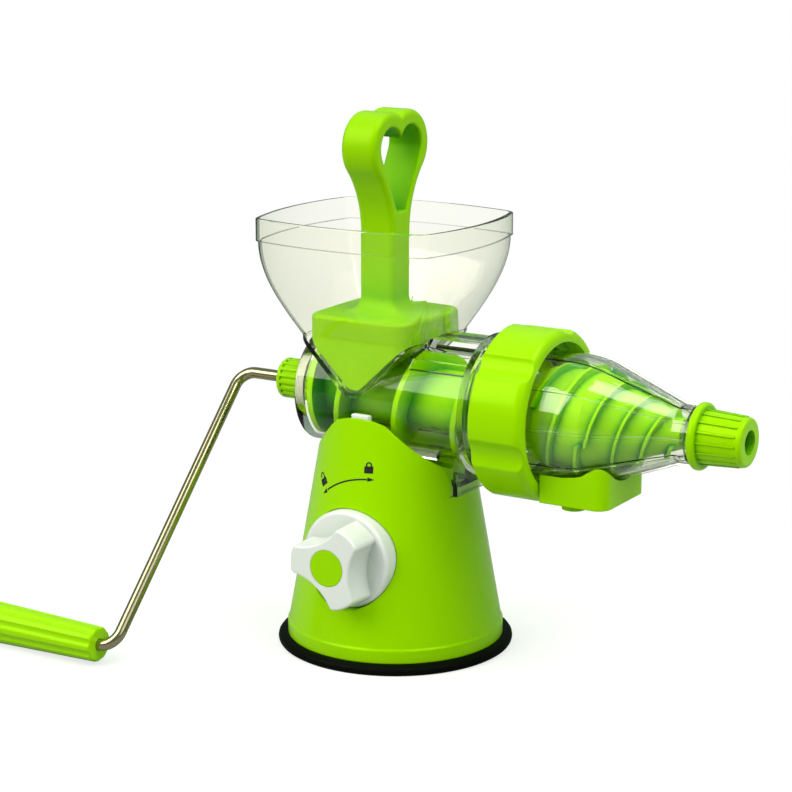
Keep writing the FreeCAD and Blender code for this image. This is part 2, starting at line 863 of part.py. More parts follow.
# Auger
def helix_flight(root, tip, root_t, tip_t, pitch, length, taper):
    """A screw flight about +Z, left handed, its radius growing by the taper angle."""
    path = Part.Wire(Part.makeHelix(pitch, length, root, taper, True))
    profile = Part.makePolygon([
        V(root, 0, -root_t / 2), V(tip, 0, -tip_t / 2), V(tip, 0, tip_t / 2), V(root, 0, root_t / 2),
        V(root, 0, -root_t / 2),
    ])
    return path.makePipeShell([profile], True, True)


def nozzle_cone_core(x):
    """Radius of the pressing cone's core, a rib's height and a gap inside the nozzle's straight taper."""
    outer = tip_r + (taper_end - x) * taper_slope
    return outer - nozzle_wall / math.cos(math.radians(taper_angle)) - press_gap - rib_h


def auger():
    disc_x = barrel_rear + rear_wall + slide_gap + auger_disc_gap
    flight_x = disc_x + auger_disc_t
    tip_radius = bore_r - auger_gap
    cone_x = taper_end - (press_r - nozzle_cone_core(taper_end)) / taper_slope
    core = turned_x([
        (journal_end + hex_l, 0), (journal_end + hex_l, journal_r), (disc_x, journal_r),
        (disc_x, tip_radius), (flight_x, tip_radius), (flight_x, auger_core_r),
        (press_start, auger_core_r), (press_full, press_r), (cone_x, press_r),
        (auger_end, nozzle_cone_core(auger_end)), (auger_end, 0),
    ])
    hexagon = hexagon_x(hex_flats / 2, journal_end, journal_end + hex_l)
    flight_l = press_start - flight_stand - flight_x
    flight = helix_flight(auger_core_r - bury, tip_radius, flight_root_t, flight_tip_t,
                          flight_l / flight_turns, flight_l, 0)
    flight.rotate(V(0, 0, 0), V(0, 1, 0), 90)
    flight.translate(V(flight_x, 0, axis_z))
    flight.rotate(V(0, 0, axis_z), V(1, 0, 0), flight_angle)

    rib_lead = rib_starts * rib_pitch
    rib_end = auger_end - rib_t
    rib_l = rib_end - cone_x
    lead_l = cone_x - press_full
    root = nozzle_cone_core(rib_end) - bury
    ribs = []
    for start in range(rib_starts):
        rib = helix_flight(root, root + bury + rib_h, rib_t, rib_t / 2, rib_lead, rib_l, taper_angle)
        lead = helix_flight(press_r - bury, press_r + rib_h, rib_t, rib_t / 2, rib_lead, lead_l, 0)
        for piece, x, turned in ((rib, rib_end, 0.0), (lead, cone_x, rib_l / rib_lead)):
            piece.rotate(V(0, 0, 0), V(0, 1, 0), -90)
            piece.translate(V(x, 0, axis_z))
            piece.rotate(V(0, 0, axis_z), V(1, 0, 0), 360.0 * (turned + start / rib_starts))
            ribs.append(piece)
    return join([core, hexagon, flight] + ribs)


def hexagon_x(apothem, x0, x1):
    corner = apothem / math.cos(math.pi / 6)
    points = []
    for i in range(6):
        angle = math.pi / 3 * i
        points.append(V(x0, corner * math.cos(angle), axis_z + corner * math.sin(angle)))
    return closed_face(points).extrude(V(x1 - x0, 0, 0))


# Crank
def crank_hub():
    hub = cylinder_x(hub_r, hub_rear, hub_front)
    hub = hub.makeFillet(hub_round, flat_rims(hub, hub_rear) + flat_rims(hub, hub_front))
    groove = cylinder_x(hub_groove_r, hub_rear + hub_plain, hub_front, 0,
                        axis_z + hub_r + hub_groove_r - hub_groove_depth)
    for copy in around_axis(groove, hub_grooves):
        hub = hub.cut(copy)
    hub = hub.cut(hexagon_x(hex_flats / 2 + fit_gap, journal_end - slide_gap, journal_end + hex_l))
    hub = hub.cut(cylinder_x(journal_r + fit_gap, journal_end + hex_l, hub_front))
    return hub.cut(cylinder_x(rod_r, hub_rear, journal_end - slide_gap))


def crank_rod():
    """Stub on the axis, arm across it and pin for the grip, one bent rod."""
    down = V(0, crank_y, crank_z - axis_z).normalize()
    top = V(crank_x, 0, axis_z)
    end = V(crank_x, crank_y, crank_z)
    start = V(hub_rear + rod_in_hub, 0, axis_z)
    tail = V(grip_far + end_cap_t + rod_tail, crank_y, crank_z)
    first = [top + V(rod_bend, 0, 0), top + down * rod_bend]
    second = [end - down * rod_bend, end - V(rod_bend, 0, 0)]
    path = Part.Wire([
        Part.LineSegment(start, first[0]).toShape(),
        arc_by_corner(first[0], top, first[1]),
        Part.LineSegment(first[1], second[0]).toShape(),
        arc_by_corner(second[0], end, second[1]),
        Part.LineSegment(second[1], tail).toShape(),
    ])
    ring = Part.Wire(Part.makeCircle(rod_r, start, V(-1, 0, 0)))
    return path.makePipeShell([ring], True, False)


def crank_grip():
    far = V(grip_far, crank_y, crank_z)
    grip = Part.makeCone(grip_r_far, grip_r_near, grip_l, far, V(1, 0, 0))
    grip = grip.makeFillet(grip_round, flat_rims(grip, grip_near) + flat_rims(grip, grip_far))
    slope = math.atan2(grip_r_far - grip_r_near, grip_l)
    for i in range(grip_flutes):
        angle = 2 * math.pi * i / grip_flutes
        out = V(0, math.cos(angle), math.sin(angle))
        lean = V(1, 0, 0) * math.cos(slope) - out * math.sin(slope)
        start = far + out * (grip_r_far + grip_flute_r - grip_flute_depth) - lean * over
        grip = grip.cut(Part.makeCylinder(grip_flute_r, grip_l + 2 * over, start, lean))
    grip = grip.cut(cylinder_x(rod_r + run_gap, grip_far, grip_near, crank_y, crank_z))
    grip = grip.cut(cylinder_x(retainer_r + slide_gap, grip_far, retainer_pocket, crank_y, crank_z))
    return grip.cut(cylinder_x(end_cap_r, grip_far, grip_far + end_cap_t, crank_y, crank_z))


def grip_retainer():
    seat = retainer_pocket - slide_gap
    return tube_x(retainer_r, rod_r, seat - retainer_t, seat, crank_y, crank_z)


def grip_end_cap():
    plug = cylinder_x(end_cap_r - fit_gap, grip_far, grip_far + end_cap_t, crank_y, crank_z)
    return plug.makeFillet(end_cap_round, flat_rims(plug, grip_far))


# Nozzle and what it carries
def nozzle_profile(inset, x0):
    """Face of the nozzle between the axis and its outer line, moved inwards by an inset."""
    angle = math.radians(taper_angle)
    shift = inset * math.tan(angle / 2)
    radius = nozzle_r - inset
    corner = V(shoulder_x - shift, 0, axis_z + radius)
    first = corner - V(shoulder_leg, 0, 0)
    last = corner + V(math.cos(angle), 0, -math.sin(angle)) * shoulder_leg
    low = V(taper_end - shift, 0, axis_z + tip_r - inset)
    end = V(tube_start, 0, axis_z + tip_r - inset)
    edges = [
        Part.LineSegment(V(x0, 0, axis_z), V(x0, 0, axis_z + radius)).toShape(),
        Part.LineSegment(V(x0, 0, axis_z + radius), first).toShape(),
        arc_by_corner(first, corner, last),
        Part.LineSegment(last, low).toShape(),
        Part.LineSegment(low, end).toShape(),
        Part.LineSegment(end, V(tube_start, 0, axis_z)).toShape(),
        Part.LineSegment(V(tube_start, 0, axis_z), V(x0, 0, axis_z)).toShape(),
    ]
    return Part.Face(Part.Wire(edges))


def nozzle_solid(inset, x0=nozzle_start):
    return nozzle_profile(inset, x0).revolve(V(0, 0, axis_z), V(1, 0, 0), 360)


def drain_box(margin):
    """The drain window in the nozzle's underside, grown by a margin."""
    return box(drain_x - margin, drain_x + drain_l + margin, -drain_w / 2 - margin, drain_w / 2 + margin,
               axis_z - nozzle_r - nozzle_wall, axis_z - nozzle_r / 2)


def nozzle():
    outer = nozzle_solid(0.0)
    slab = box(flange_end, tube_start, -nozzle_rib_w / 2, nozzle_rib_w / 2, axis_z, axis_z + 2 * nozzle_r)
    raised = nozzle_solid(-nozzle_rib_h)
    half_step = 180.0 / nozzle_ribs
    slab.rotate(V(0, 0, axis_z), V(1, 0, 0), half_step)
    ribs = [copy.common(raised) for copy in around_axis(slab, nozzle_ribs)]
    flange = cylinder_x(spigot_r, nozzle_start, flange_end)
    tube = cylinder_x(tube_r, tube_start - nozzle_wall, tube_start + tube_l)
    body = join([outer, flange, tube] + ribs)
    inside = nozzle_solid(nozzle_wall, nozzle_start - over)
    body = body.cut(inside.common(cylinder_x(nozzle_r, nozzle_start - over, tube_start - nozzle_wall)))
    body = body.cut(cylinder_x(tube_bore, tube_start - 2 * nozzle_wall, tube_start + tube_l))
    body = body.cut(drain_box(0.0))
    outer_half = drain_box(drain_ledge).cut(nozzle_solid(nozzle_wall / 2))
    return body.cut(outer_half)


def strainer():
    inner = nozzle_solid(nozzle_wall / 2).cut(nozzle_solid(nozzle_wall, nozzle_start - over))
    outer = nozzle_solid(0.0).cut(nozzle_solid(nozzle_wall / 2))
    plate = join([inner.common(drain_box(-fit_gap)), outer.common(drain_box(drain_ledge - fit_gap))])
    pitch = drain_w / (strainer_slots + 1)
    for i in range(strainer_slots):
        y = -drain_w / 2 + pitch * (i + 1)
        plate = plate.cut(box(drain_x + strainer_margin, drain_x + drain_l - strainer_margin,
                              y - strainer_slot_w / 2, y + strainer_slot_w / 2, 0, axis_z))
    return plate


def ring_ridges(lobed, reach):
    """Edges where the scallops, centred at a reach from the axis, meet the ring's outer face."""
    ridge = math.degrees(math.acos((ring_r ** 2 + reach ** 2 - ring_scallop_r ** 2) / (2 * ring_r * reach)))
    step = 360.0 / ring_lobes
    edges = []
    for edge in lobed.Edges:
        middle = edge.BoundBox.Center
        turn = math.degrees(math.atan2(middle.y, middle.z - axis_z)) + ring_turn
        from_scallop = abs((turn + step / 2) % step - step / 2)
        if edge.BoundBox.XLength > ring_l - near and abs(from_scallop - ridge) < near:
            edges.append(edge)
    return edges


def lock_ring():
    roll = cylinder_x(ring_r, ring_rear, ring_front)
    roll = roll.makeFillet(ring_round, flat_rims(roll, ring_rear))
    roll = roll.makeFillet(ring_front_round, flat_rims(roll, ring_front))
    reach = ring_r + ring_scallop_r - ring_scallop_depth
    scallop = cylinder_x(ring_scallop_r, ring_rear, ring_front, 0, axis_z + reach)
    scallop.rotate(V(0, 0, axis_z), V(1, 0, 0), ring_turn)
    lobed = cylinder_x(ring_r, ring_rear, ring_front)
    for copy in around_axis(scallop, ring_lobes):
        lobed = lobed.cut(copy)
    lobed = lobed.makeFillet(ring_round, ring_ridges(lobed, reach))
    ring = lobed.common(roll)
    lip_x = flange_end + slide_gap
    ring = ring.cut(cylinder_x(spigot_r + slide_gap, ring_rear, lip_x))
    ring = ring.cut(cylinder_x(nozzle_r + nozzle_rib_h + slide_gap, ring_rear, ring_front))
    return ring.cut(cylinder_x(ring_mouth_r, lip_x + ring_lip, ring_front))


def outlet_cap():
    flange_x = cap_start + cap_flange_t
    flange = cylinder_x(cap_r_near + cap_flange_w, cap_start, flange_x)
    flange = flange.makeFillet(cap_round, flat_rims(flange, cap_start) + flat_rims(flange, flange_x))
    cap_l = cap_end - cap_start
    body = Part.makeCone(cap_r_near, cap_r_far, cap_l, V(cap_start, 0, axis_z), V(1, 0, 0))
    body = body.makeFillet(cap_round, flat_rims(body, cap_end))
    raised = Part.makeCone(cap_r_near + cap_rib_h, cap_r_far + cap_rib_h, cap_l,
                           V(cap_start, 0, axis_z), V(1, 0, 0))
    bar = box(flange_x - bury, cap_end - cap_rib_margin, -cap_rib_w / 2, cap_rib_w / 2,
              axis_z, axis_z + 2 * cap_r_near)
    ribs = [copy.common(raised) for copy in around_axis(bar, cap_ribs)]
    cap = join([flange, body] + ribs)
    cap = cap.cut(cylinder_x(tube_r + slide_gap, cap_start, cap_bore_end))
    return cap.cut(cylinder_x(cap_hole_r, cap_start, cap_end))


def tray_block(inset, floor, top):
    """The tray's outline as a block, its walls moved inwards by an inset, its far corners rounded."""
    block = box(tray_start + inset, tray_end - inset, -tray_half + inset, tray_half - inset, floor, top)
    uprights = [edge for edge in block.Edges
                if edge.BoundBox.ZLength > near and edge.BoundBox.XMin > tray_end - inset - near]
    return block.makeFillet(tray_corner - inset, uprights)


def tray_brow():
    """What lies above the tray's side walls: a level top that sweeps up over a round ear at the far end."""
    ear = V(tray_end - tray_ear_in, -tray_half, tray_ear_top - tray_ear_r)
    rise = tray_side_top + tray_sweep_r - ear.z
    run = math.sqrt((tray_sweep_r + tray_ear_r) ** 2 - rise ** 2)
    hollow = V(ear.x - run, -tray_half, tray_side_top + tray_sweep_r)
    low = hollow - V(0, 0, tray_sweep_r)
    touch = ear + (hollow - ear).normalize() * tray_ear_r
    lean = math.atan2(touch.x - hollow.x, hollow.z - touch.z) / 2
    dip = hollow + V(math.sin(lean), 0, -math.cos(lean)) * tray_sweep_r
    crest = ear + V(0, 0, tray_ear_r)
    end = ear + V(tray_ear_r * math.cos(math.pi / 4), 0, tray_ear_r * math.sin(math.pi / 4))
    high = tray_ear_top + over
    corners = [V(end.x, -tray_half, high), V(tray_start - over, -tray_half, high),
               V(tray_start - over, -tray_half, tray_side_top)]
    edges = [
        Part.LineSegment(corners[2], low).toShape(),
        Part.Arc(low, dip, touch).toShape(),
        Part.Arc(touch, crest, end).toShape(),
        Part.LineSegment(end, corners[0]).toShape(),
        Part.LineSegment(corners[0], corners[1]).toShape(),
        Part.LineSegment(corners[1], corners[2]).toShape(),
    ]
    return Part.Face(Part.Wire(edges)).extrude(V(0, 2 * tray_half, 0))


def juice_tray():
    tray = tray_block(0.0, tray_bottom, tray_ear_top)
    tray = tray.cut(tray_block(tray_wall, tray_bottom + tray_wall, tray_ear_top + over))
    tray = tray.cut(tray_brow())
    tray = tray.cut(nozzle_solid(-nozzle_rib_h - slide_gap))
    spout_base = tray_bottom - spout_l
    spout = cylinder_z(spout_r, spout_base, tray_bottom + tray_wall / 2, spout_x)
    tray = join([tray, spout])
    return tray.cut(cylinder_z(spout_r - spout_wall, spout_base, tray_bottom + tray_wall, spout_x))


# Pusher
def level_edges(shape, z, half_x, half_y):
    """Edges of a shape in the level plane at z, within a rectangle about the hopper's middle."""
    edges = []
    for edge in shape.Edges:
        place = edge.BoundBox
        level = abs(place.ZMin - z) < near and place.ZLength < near
        reach_x = max(abs(place.XMin - hopper_x), abs(place.XMax - hopper_x))
        reach_y = max(abs(place.YMin), abs(place.YMax))
        if level and reach_x < half_x + near and reach_y < half_y + near:
            edges.append(edge)
    return edges


def pusher():
    half = throat_half - pusher_inset
    plan = bowed_rectangle(half, half, throat_bow, pusher_corner, hopper_x, throat_z)
    block = Part.Face(plan).extrude(V(0, 0, pusher_block_h))
    block = join([vee(pusher_inset, pusher_corner), block])
    block = block.makeFillet(pusher_round, level_edges(block, pusher_top, half, half))
    foot = rounded_rectangle(loop_t / 2, pusher_neck_half, loop_round, hopper_x, pusher_top)
    neck = Part.Face(foot).extrude(V(0, 0, pusher_neck_l + loop_band))
    body = block.fuse(neck)
    body = body.makeFillet(pusher_neck_round, level_edges(body, pusher_top, loop_t / 2, pusher_neck_half))
    body = body.cut(cylinder_x(bore_r + slide_gap, -foot_r, foot_r))
    return join([body, finger_loop()])


def lobe_crown(sign, radius):
    """The middle of one of the finger loop's two lobes and a point on its crown."""
    lobe = V(hopper_x - loop_t / 2, sign * loop_lobe_y, loop_lobe_z)
    return lobe, lobe + V(0, sign * math.cos(math.pi / 3), math.sin(math.pi / 3)) * radius


def lobe_dip(radius):
    return V(hopper_x - loop_t / 2, 0, loop_lobe_z + math.sqrt(radius ** 2 - loop_lobe_y ** 2))


def loop_wire():
    """The finger loop's outline across the pusher: two lobes that sweep down into the neck."""
    offset = pusher_neck_half - loop_lobe_y
    height = loop_lobe_z - loop_base_z
    sweep = (offset ** 2 + height ** 2 - loop_lobe_r ** 2) / (2 * (loop_lobe_r - offset))

    def side(sign):
        lobe, crown = lobe_crown(sign, loop_lobe_r)
        hollow = V(lobe.x, sign * (pusher_neck_half + sweep), loop_base_z)
        base = hollow - V(0, sign * sweep, 0)
        touch = lobe + (hollow - lobe).normalize() * loop_lobe_r
        lean = math.atan2(touch.z - hollow.z, sign * (hollow.y - touch.y)) / 2
        bend = hollow + V(0, -sign * math.cos(lean), math.sin(lean)) * sweep
        return base, bend, touch, crown

    dip = lobe_dip(loop_lobe_r)
    right = side(1)
    left = side(-1)
    return Part.Wire([
        Part.Arc(right[0], right[1], right[2]).toShape(),
        Part.Arc(right[2], right[3], dip).toShape(),
        Part.Arc(dip, left[3], left[2]).toShape(),
        Part.Arc(left[2], left[1], left[0]).toShape(),
        Part.LineSegment(left[0], right[0]).toShape(),
    ])


def loop_hole_wire():
    """The hole in the finger loop: two lobes with straight sides to a narrow base."""
    radius = loop_lobe_r - loop_band

    def side(sign):
        lobe, crown = lobe_crown(sign, radius)
        base = V(lobe.x, sign * loop_base_half, loop_base_z + loop_base_band)
        gap = base - lobe
        touch = math.atan2(gap.z, sign * gap.y) + math.acos(radius / gap.Length)
        outer = lobe + V(0, sign * math.cos(touch), math.sin(touch)) * radius
        return base, outer, crown

    dip = lobe_dip(radius)
    right = side(1)
    left = side(-1)
    return Part.Wire([
        Part.LineSegment(right[0], right[1]).toShape(),
        Part.Arc(right[1], right[2], dip).toShape(),
        Part.Arc(dip, left[2], left[1]).toShape(),
        Part.LineSegment(left[1], left[0]).toShape(),
        Part.LineSegment(left[0], right[0]).toShape(),
    ])


def finger_loop():
    outer = Part.Face(loop_wire()).extrude(V(loop_t, 0, 0))
    rims = [edge for edge in outer.Edges
            if edge.BoundBox.XLength < near and edge.BoundBox.ZMax > loop_base_z + near]
    outer = outer.makeFillet(loop_round, rims)
    hole = loop_hole_wire()
    loop = outer.cut(Part.Face(hole).extrude(V(loop_t, 0, 0)))
    rims = []
    for edge in loop.Edges:
        middle = edge.valueAt((edge.FirstParameter + edge.LastParameter) / 2)
        flat = Part.Vertex(V(hopper_x - loop_t / 2, middle.y, middle.z))
        if edge.BoundBox.XLength < near and hole.distToShape(flat)[0] < near:
            rims.append(edge)
    return loop.makeFillet(loop_hole_round, rims)


PIECES = {
    "suction_cup": suction_cup,
    "cup_plate": cup_plate,
    "suction_stem": suction_stem,
    "cup_spring": cup_spring,
    "base_plate": base_plate,
    "plate_screws": plate_screws,
    "base_housing": base_housing,
    "cam_shaft": cam_shaft,
    "lock_knob": lock_knob,
    "knob_screw": knob_screw,
    "knob_cap": knob_cap,
    "release_button": release_button,
    "button_spring": button_spring,
    "feed_housing": feed_housing,
    "shaft_seal": shaft_seal,
    "nozzle_seal": nozzle_seal,
    "auger": auger,
    "crank_hub": crank_hub,
    "crank_rod": crank_rod,
    "crank_grip": crank_grip,
    "grip_retainer": grip_retainer,
    "grip_end_cap": grip_end_cap,
    "nozzle": nozzle,
    "strainer": strainer,
    "lock_ring": lock_ring,
    "outlet_cap": outlet_cap,
    "juice_tray": juice_tray,
    "pusher": pusher,
}

os.makedirs("parts", exist_ok=True)
for name, make in PIECES.items():
    shape = make()
    print(name, shape.isValid(), len(shape.Solids), round(shape.Volume, 1))
    shape.exportStep("parts/" + name + ".step")
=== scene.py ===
"""Looks of a hand-crank screw juicer: its finishes, rubber foot, springs, printed marks, studio and camera."""

import json
import logging
import math
from dataclasses import dataclass
from enum import Enum

import bpy
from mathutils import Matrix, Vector

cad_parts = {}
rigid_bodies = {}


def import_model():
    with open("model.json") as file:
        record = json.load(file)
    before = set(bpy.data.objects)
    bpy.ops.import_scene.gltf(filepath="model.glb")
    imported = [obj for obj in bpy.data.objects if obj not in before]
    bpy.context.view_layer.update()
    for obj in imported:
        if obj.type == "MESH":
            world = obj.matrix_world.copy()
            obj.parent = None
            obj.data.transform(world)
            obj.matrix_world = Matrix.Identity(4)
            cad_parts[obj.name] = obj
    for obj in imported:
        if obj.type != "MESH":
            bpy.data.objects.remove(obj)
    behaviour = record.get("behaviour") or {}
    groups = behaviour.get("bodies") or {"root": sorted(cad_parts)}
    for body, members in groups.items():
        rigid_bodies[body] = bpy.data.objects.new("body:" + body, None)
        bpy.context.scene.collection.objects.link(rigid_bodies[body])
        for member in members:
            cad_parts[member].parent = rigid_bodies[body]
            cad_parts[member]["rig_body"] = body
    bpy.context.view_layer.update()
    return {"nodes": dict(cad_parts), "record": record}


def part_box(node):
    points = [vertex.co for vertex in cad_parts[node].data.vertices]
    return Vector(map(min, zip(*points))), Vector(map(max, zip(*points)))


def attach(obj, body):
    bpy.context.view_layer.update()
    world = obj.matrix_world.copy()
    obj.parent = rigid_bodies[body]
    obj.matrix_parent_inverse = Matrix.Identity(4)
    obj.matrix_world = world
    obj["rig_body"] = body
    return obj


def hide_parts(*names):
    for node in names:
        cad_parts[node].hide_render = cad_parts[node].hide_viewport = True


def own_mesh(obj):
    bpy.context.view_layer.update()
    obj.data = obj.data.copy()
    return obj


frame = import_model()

LOG = logging.getLogger("juicer")

MM = 0.001
MERGE_WITHIN = 0.001 * MM
SMOOTH_ANGLE = math.radians(35)
PLASTIC_IOR = 1.52
NOISE_SPAN = (0.3, 0.7)  # Most of a noise's values lie between these.
UNIT_SPAN = (0.0, 1.0)

Place = tuple[float, float, float]
Colour = tuple[float, float, float, float]
Span = tuple[float, float]
Socket = bpy.types.NodeSocket
Tree = bpy.types.NodeTree


class Slot(Enum):
    """The record's material slots."""

    LIME = "lime_plastic"
    CLEAR = "clear_plastic"
    WHITE = "white_plastic"
    RUBBER = "black_rubber"
    PLATED = "plated_steel"
    SPRING = "spring_steel"
    SILICONE = "silicone"
    NYLON = "natural_nylon"


class Body(Enum):
    """The bodies that new pieces ride on."""

    BASE = "base"


def linear(hex_colour: str) -> Colour:
    """Turn an sRGB hex colour into linear light.

    Args:
        hex_colour: Six hex digits, with or without a leading hash.

    Returns:
        Red, green, blue and an alpha of 1.
    """
    digits = hex_colour.lstrip("#")
    channels = [int(digits[i:i + 2], 16) / 255 for i in (0, 2, 4)]
    light = [c / 12.92 if c <= 0.04045 else ((c + 0.055) / 1.055) ** 2.4 for c in channels]
    return (light[0], light[1], light[2], 1.0)


def per_mm(size: float) -> float:
    """Texture scale, in cycles per metre, of a pattern with that size in millimetres."""
    return 1.0 / (size * MM)


def add_node(tree: Tree, kind: str, settings: dict | None = None, inputs: dict | None = None) -> bpy.types.Node:
    """Add one node with its settings and links.

    Args:
        tree: The node tree to add to.
        kind: Blender's name of the node's type.
        settings: Properties of the node to set.
        inputs: Input names or numbers, each with a value or with a socket to link from.

    Returns:
        The new node.
    """
    node = tree.nodes.new(kind)
    for key, value in (settings or {}).items():
        setattr(node, key, value)
    for key, value in (inputs or {}).items():
        if isinstance(value, Socket):
            tree.links.new(value, node.inputs[key])
        else:
            node.inputs[key].default_value = value
    return node


def noise(tree: Tree, size_mm: float, detail: float, more: dict | None = None) -> Socket:
    """Add a noise that is fixed to the piece.

    Args:
        tree: The node tree to add to.
        size_mm: The size of its patches, in millimetres.
        detail: How many finer layers it has.
        more: Further inputs of the noise.

    Returns:
        The noise's value, about 0 to 1.
    """
    where = add_node(tree, "ShaderNodeTexCoord").outputs["Object"]
    inputs = {"Vector": where, "Scale": per_mm(size_mm), "Detail": detail}
    return add_node(tree, "ShaderNodeTexNoise", None, inputs | (more or {})).outputs["Fac"]


def remap(tree: Tree, value: Socket, source: Span, target: Span = UNIT_SPAN, settings: dict | None = None) -> Socket:
    """Carry a value from one range to another, held at the ends.

    Args:
        tree: The node tree to add to.
        value: The value to carry.
        source: The range it comes from.
        target: The range it goes to.
        settings: Properties of the node to set.

    Returns:
        The carried value.
    """
    return add_node(tree, "ShaderNodeMapRange", settings,
                    {"Value": value, "From Min": source[0], "From Max": source[1],
                     "To Min": target[0], "To Max": target[1]}).outputs["Result"]


def mix_colours(tree: Tree, share: Socket, first: Socket | Colour, second: Socket | Colour) -> Socket:
    """Mix two colours: all of the first at a share of 0, all of the second at 1."""
    return add_node(tree, "ShaderNodeMix", {"data_type": "RGBA"}, {0: share, 6: first, 7: second}).outputs[2]


def mix_numbers(tree: Tree, share: Socket, first: Socket | float, second: Socket | float) -> Socket:
    """Mix two numbers: all of the first at a share of 0, all of the second at 1."""
    return add_node(tree, "ShaderNodeMix", {"data_type": "FLOAT"}, {0: share, 2: first, 3: second}).outputs[0]


def calculate(tree: Tree, operation: str, first: Socket, second: Socket | float) -> Socket:
    """Join two numbers by one operation of the math node."""
    return add_node(tree, "ShaderNodeMath", {"operation": operation}, {0: first, 1: second}).outputs["Value"]


def bump(tree: Tree, height: Socket, depth: float, more: dict | None = None) -> Socket:
    """Roughen the surface's normal by a height, and return the new normal."""
    inputs = {"Height": height, "Strength": depth, "Distance": MM}
    return add_node(tree, "ShaderNodeBump", None, inputs | (more or {})).outputs["Normal"]


def principled(tree: Tree, inputs: dict) -> Socket:
    """Add the main surface shader with its inputs, and return its result."""
    return add_node(tree, "ShaderNodeBsdfPrincipled", None, inputs).outputs["BSDF"]


def new_material(name: str) -> bpy.types.Material:
    """Make an empty node material of that name."""
    material = bpy.data.materials.new(name)
    material.use_nodes = True
    material.node_tree.nodes.clear()
    return material


def show(tree: Tree, surface: Socket) -> None:
    """Make a shader the material's surface."""
    add_node(tree, "ShaderNodeOutputMaterial", None, {"Surface": surface})


@dataclass(frozen=True)
class MouldedPlastic:
    """Injection-moulded ABS: smooth and glossy, with faint flow marks, soft edges, and painted shade: a deeper colour
    in hollows.
    """

    name: str
    colour: str
    flow_colour: str
    painted_shade_colour: str
    reflection: str
    roughness: float
    roughness_spread: float = 0.04
    flow_mm: float = 28.0
    flow_swirl: float = 0.6
    peel_mm: float = 1.1
    peel_depth: float = 0.015
    edge_mm: float = 0.8
    hollow_mm: float = 24.0
    full_shade_at: float = 0.2
    open_at: float = 0.85

    def material(self) -> bpy.types.Material:
        """Make the plastic's node material."""
        material = new_material(self.name)
        tree = material.node_tree
        flow = noise(tree, self.flow_mm, 3.0, {"Distortion": self.flow_swirl})
        peel = noise(tree, self.peel_mm, 2.0)
        # Faint flow marks keep a large face from looking flat.
        tint = mix_colours(tree, flow, linear(self.colour), linear(self.flow_colour))
        # A lit hollow of a bright plastic glows in its own colour, which a few bounces of light leave too pale, so
        # hollows get painted shade: ambient occlusion mixes in a deeper colour.
        hollow = add_node(tree, "ShaderNodeAmbientOcclusion", {"only_local": True, "samples": 8},
                          {"Distance": self.hollow_mm * MM})
        openness = remap(tree, hollow.outputs["AO"], (self.full_shade_at, self.open_at))
        shade = mix_colours(tree, openness, linear(self.painted_shade_colour), tint)
        # The mould's polish is uneven, so a reflection is sharper in some places than in others.
        shine = remap(tree, flow, NOISE_SPAN,
                      (self.roughness - self.roughness_spread, self.roughness + self.roughness_spread))
        # Rounded edges catch a thin line of light.
        edge = add_node(tree, "ShaderNodeBevel", {"samples": 4}, {"Radius": self.edge_mm * MM})
        normal = bump(tree, peel, self.peel_depth, {"Normal": edge.outputs["Normal"]})
        show(tree, principled(tree, {"Base Color": shade, "Roughness": shine, "Normal": normal, "IOR": PLASTIC_IOR,
                                     "Specular Tint": linear(self.reflection)}))
        return material


@dataclass(frozen=True)
class ClearStyrene:
    """Clear moulded styrene: water clear, mirror smooth, with darker rims and slow waves from the flow of the melt."""

    name: str
    colour: str
    rim_colour: str
    roughness: float
    shine: float
    rim_blend: float = 0.1
    wave_mm: float = 9.0
    wave_depth: float = 0.025
    haze_spread: float = 0.5
    wall_ior: float = 1.3
    coat_ior: float = 1.59
    coat_roughness: float = 0.03

    def material(self) -> bpy.types.Material:
        """Make the clear plastic's node material, which lets lamp light through to what is inside."""
        material = new_material(self.name)
        tree = material.node_tree
        waves = noise(tree, self.wave_mm, 1.0)
        haze = remap(tree, waves, NOISE_SPAN,
                     (self.roughness * (1 - self.haze_spread), self.roughness * (1 + self.haze_spread)))
        normal = bump(tree, waves, self.wave_depth)
        # A wall seen edge-on is looked through lengthwise, which shows as a darker rim.
        rim = add_node(tree, "ShaderNodeLayerWeight", None, {"Blend": self.rim_blend}).outputs["Facing"]
        tint = mix_colours(tree, rim, linear(self.colour), linear(self.rim_colour))
        # The walls bend light very little, as thin walls do, and the coat carries the styrene's mirror shine.
        glass = principled(tree, {"Base Color": tint, "Roughness": haze, "Normal": normal, "IOR": self.wall_ior,
                                  "Transmission Weight": 1.0, "Coat Weight": self.shine, "Coat IOR": self.coat_ior,
                                  "Coat Roughness": self.coat_roughness, "Coat Normal": normal})
        clear = add_node(tree, "ShaderNodeBsdfTransparent", None, {"Color": linear(self.colour)})
        path = add_node(tree, "ShaderNodeLightPath")
        mixed = add_node(tree, "ShaderNodeMixShader", None,
                         {0: path.outputs["Is Shadow Ray"], 1: glass, 2: clear.outputs["BSDF"]})
        show(tree, mixed.outputs["Shader"])
        return material


